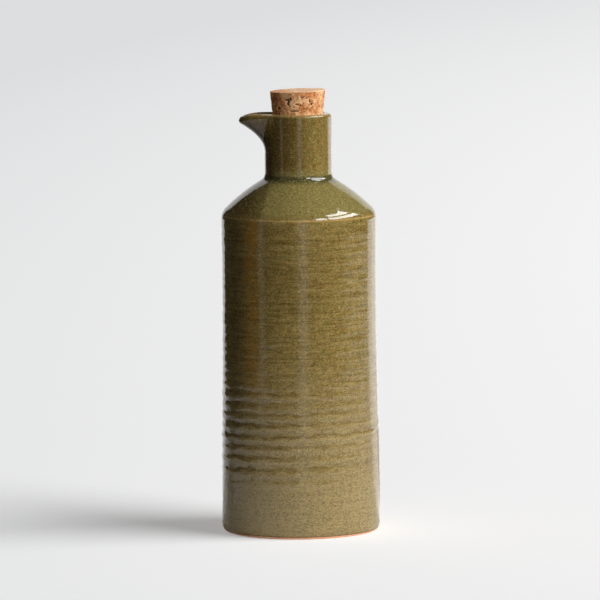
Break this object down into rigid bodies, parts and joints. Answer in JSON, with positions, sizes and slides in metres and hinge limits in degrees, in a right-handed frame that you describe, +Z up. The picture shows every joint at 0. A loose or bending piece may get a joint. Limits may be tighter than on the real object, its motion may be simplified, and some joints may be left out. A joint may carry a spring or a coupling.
{
  "type": "oil pourer bottle",
  "caption": "Tall thrown stoneware oil bottle with a domed shoulder, a straight neck, a hand-pulled pouring beak, throwing rings and a tapered cork.",
  "frame": {"origin": "middle of the foot, on the surface the bottle stands on", "axes": "+Z up along the axis the bottle was thrown on, the pouring beak points along -X, and +Y points away from the side that is mostly looked at"},
  "size_m": [0.0792, 0.0792, 0.2209],
  "materials": {
    "glazed_stoneware": "glossy olive-brown glaze with fine speckle, bare orange-brown clay at the foot",
    "natural_cork": "matt natural cork with dark pits"
  },
  "bodies": {
    "root": {"stoneware_bottle": "glazed_stoneware", "cork_stopper": "natural_cork"}
  },
  "joints": []
}
